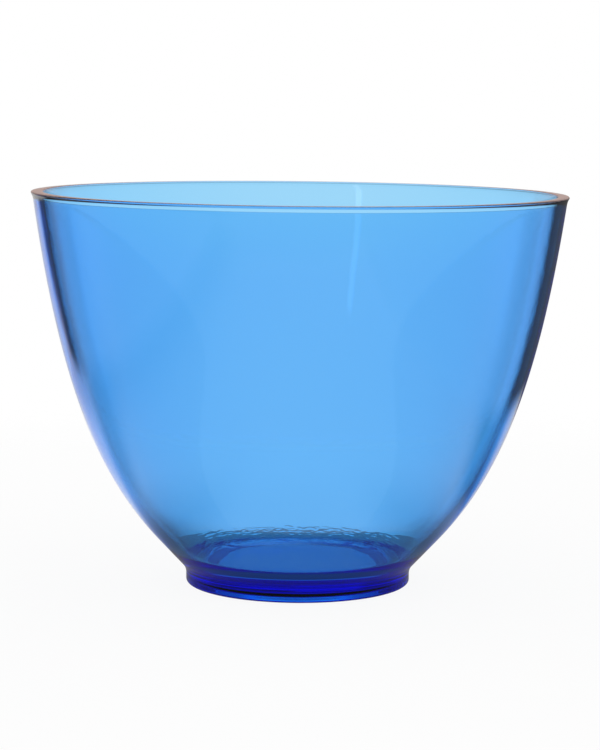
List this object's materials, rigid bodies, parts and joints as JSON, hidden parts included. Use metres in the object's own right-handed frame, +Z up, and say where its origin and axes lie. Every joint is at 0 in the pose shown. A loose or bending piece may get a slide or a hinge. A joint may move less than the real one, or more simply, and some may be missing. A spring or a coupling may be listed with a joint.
{
  "type": "mixing bowl",
  "caption": "Deep flexible mixing bowl of clear blue rubbery plastic, with a flared wall, a flat rim and a low foot with a shallow recess underneath, held in the hand to mix pastes and powders.",
  "frame": {"origin": "centre of the foot ring's resting face, on the table", "axes": "+Z up along the bowl's axis, from the foot to the open mouth; X and Y are any two directions across the round bowl"},
  "size_m": [0.1304, 0.1304, 0.096],
  "materials": {
    "clear_blue_rubber": "smooth gloss, clear and tinted sky blue, deeper blue where light travels far inside the foot"
  },
  "bodies": {
    "root": {"mixing_bowl": "clear_blue_rubber"}
  },
  "joints": []
}
